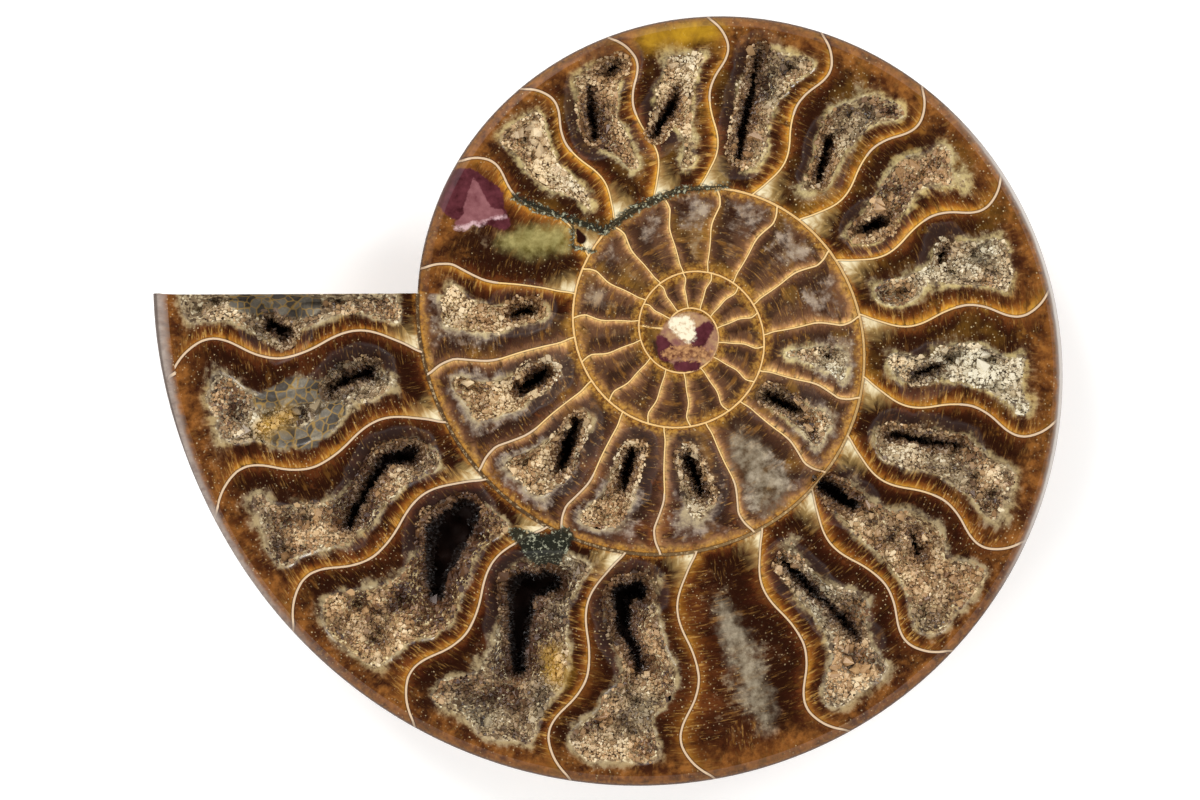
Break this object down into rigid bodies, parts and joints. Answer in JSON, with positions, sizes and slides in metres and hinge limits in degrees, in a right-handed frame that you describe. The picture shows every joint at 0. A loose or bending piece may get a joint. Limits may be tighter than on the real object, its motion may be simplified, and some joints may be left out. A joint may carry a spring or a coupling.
{
  "type": "ammonite fossil half",
  "caption": "Polished half of a coiled ammonite fossil, sawn through its middle plane, with chamber walls and crystal-lined hollows in its flat face.",
  "frame": {"origin": "middle of the object's box, on the surface that it lies on", "axes": "+Z out of the polished cut face, +X to the right of the cut face with the shell's mouth at the left, +Y to its top"},
  "size_m": [0.1501, 0.1276, 0.0164],
  "materials": {
    "calcite_shell": "polished red-brown and amber calcite with pale chamber walls",
    "calcite_druse": "rough tan and grey calcite crystals"
  },
  "bodies": {
    "root": {"ammonite_half": "calcite_shell", "crust_mouth_pocket": "calcite_druse", "crust_first_pocket": "calcite_druse", "crust_bent_slit": "calcite_druse", "crust_great_cave": "calcite_druse", "crust_hooked_cave": "calcite_druse", "crust_lower_cave": "calcite_druse", "crust_slanting_slit": "calcite_druse", "crust_corner_cave": "calcite_druse", "crust_short_slit": "calcite_druse", "crust_level_slit": "calcite_druse", "crust_right_slit": "calcite_druse", "crust_right_notch": "calcite_druse", "crust_upper_pocket": "calcite_druse", "crust_upper_slit": "calcite_druse", "crust_top_slit": "calcite_druse", "crust_top_gash": "calcite_druse", "crust_left_gash": "calcite_druse", "crust_left_dimple": "calcite_druse", "crust_inner_dimple": "calcite_druse", "crust_inner_pocket": "calcite_druse", "crust_inner_cave": "calcite_druse", "crust_inner_slit": "calcite_druse", "crust_inner_gash": "calcite_druse", "crust_inner_corner": "calcite_druse"}
  },
  "joints": []
}
